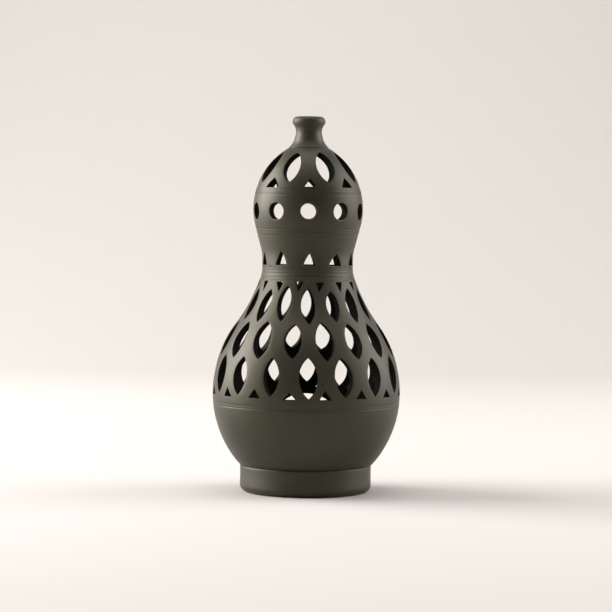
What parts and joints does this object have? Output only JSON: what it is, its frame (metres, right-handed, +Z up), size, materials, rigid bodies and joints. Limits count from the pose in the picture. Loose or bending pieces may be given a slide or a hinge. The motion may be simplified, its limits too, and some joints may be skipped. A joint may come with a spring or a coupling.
{
  "type": "pierced black clay vessel",
  "caption": "Gourd-shaped black clay vessel with two pierced bulbs, plain bowl and collar, narrow flared neck, round foot and an oval opening in the back.",
  "frame": {"origin": "centre of the foot's underside, on the surface the vessel stands on", "axes": "+Z up along the turning axis; -Y is the front, where a lowest-row almond stands square; the oval opening is in the back, at +Y"},
  "size_m": [0.1504, 0.1504, 0.3],
  "materials": {
    "black_clay": "smoke-fired black clay, satin, lightly burnished with faint turning lines",
    "inner_clay": "smoke-fired black clay, matt and unburnished"
  },
  "bodies": {
    "root": {"foot_ring": "black_clay", "floor_disc": "inner_clay", "lower_bowl": "black_clay", "pierced_belly": "black_clay", "waist_collar": "black_clay", "upper_cup": "black_clay", "round_hole_band": "black_clay", "petal_dome": "black_clay", "neck": "black_clay", "lip_ring": "black_clay"}
  },
  "joints": []
}
